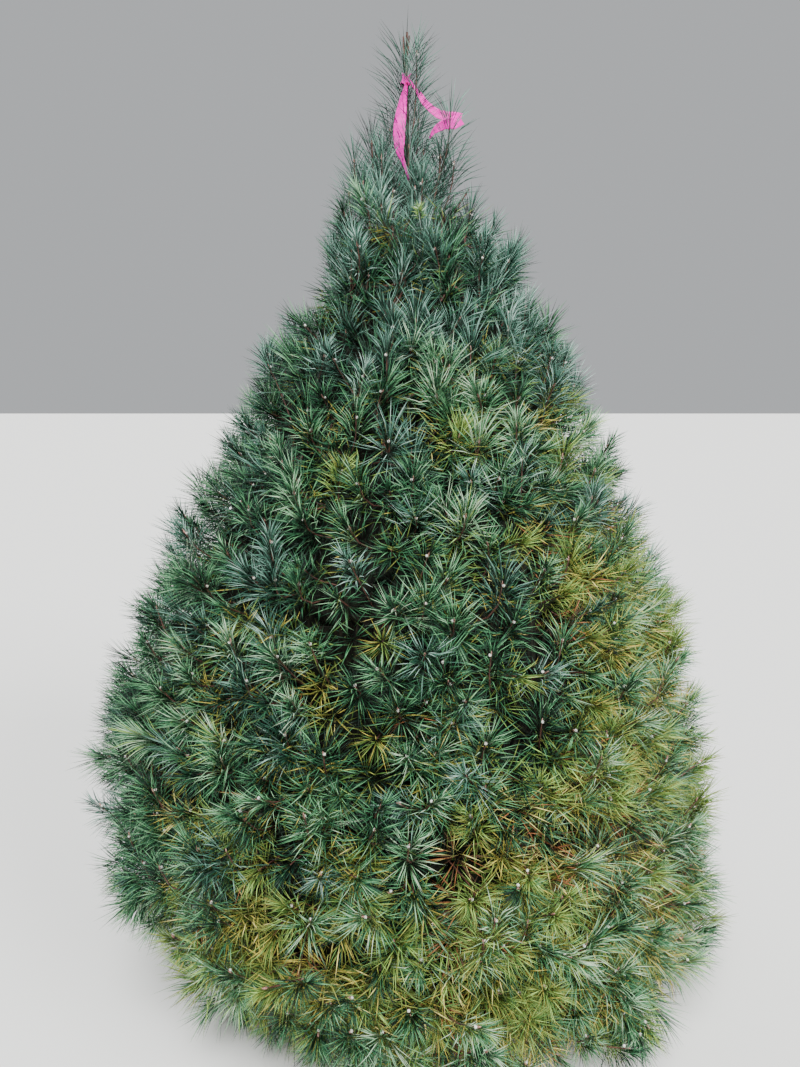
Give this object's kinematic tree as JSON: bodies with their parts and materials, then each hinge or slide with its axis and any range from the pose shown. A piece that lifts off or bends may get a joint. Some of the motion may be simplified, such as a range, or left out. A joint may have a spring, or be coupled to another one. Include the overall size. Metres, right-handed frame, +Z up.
{
  "type": "sheared white pine tree",
  "caption": "Sheared conical pine tree rooted in the ground, with a tapering trunk, whorled boughs and dense long-needled foliage down to the ground.",
  "frame": {"origin": "centre of the trunk's flat cut at ground level", "axes": "+Z up along the trunk; +X to the picture's right; -Y towards the picture's camera"},
  "size_m": [1.8261, 1.8173, 2.4545],
  "materials": {
    "trunk_bark": "rough, finely cracked bark",
    "bough_bark": "smooth young bark",
    "twig_bark": "thin reddish-brown bark",
    "buds": "scaly buds with dried resin",
    "needles": "waxy, satin",
    "old_needles": "dry, dull",
    "marker_tape": "thin film, glossy"
  },
  "bodies": {
    "root": {"trunk": "trunk_bark", "skirt_bough_1": "bough_bark", "skirt_foliage_1": "needles", "skirt_bough_2": "bough_bark", "skirt_foliage_2": "needles", "skirt_bough_3": "bough_bark", "skirt_foliage_3": "needles", "skirt_bough_4": "bough_bark", "skirt_foliage_4": "needles", "skirt_bough_5": "bough_bark", "skirt_foliage_5": "needles", "lower_bough_1": "bough_bark", "lower_foliage_1": "needles", "lower_bough_2": "bough_bark", "lower_foliage_2": "needles", "lower_bough_3": "bough_bark", "lower_foliage_3": "needles", "lower_bough_4": "bough_bark", "lower_foliage_4": "needles", "lower_bough_5": "bough_bark", "lower_foliage_5": "needles", "middle_bough_1": "bough_bark", "middle_foliage_1": "needles", "middle_bough_2": "bough_bark", "middle_foliage_2": "needles", "middle_bough_3": "bough_bark", "middle_foliage_3": "needles", "middle_bough_4": "bough_bark", "middle_foliage_4": "needles", "middle_bough_5": "bough_bark", "middle_foliage_5": "needles", "upper_bough_1": "bough_bark", "upper_foliage_1": "needles", "upper_bough_2": "bough_bark", "upper_foliage_2": "needles", "upper_bough_3": "bough_bark", "upper_foliage_3": "needles", "upper_bough_4": "bough_bark", "upper_foliage_4": "needles", "upper_bough_5": "bough_bark", "upper_foliage_5": "needles", "shoulder_bough_1": "bough_bark", "shoulder_foliage_1": "needles", "shoulder_bough_2": "bough_bark", "shoulder_foliage_2": "needles", "shoulder_bough_3": "bough_bark", "shoulder_foliage_3": "needles", "shoulder_bough_4": "bough_bark", "shoulder_foliage_4": "needles", "top_bough_1": "bough_bark", "top_foliage_1": "needles", "top_bough_2": "bough_bark", "top_foliage_2": "needles", "top_bough_3": "bough_bark", "top_foliage_3": "needles", "leader_foliage_1": "needles", "leader_foliage_2": "needles"}
  },
  "joints": []
}
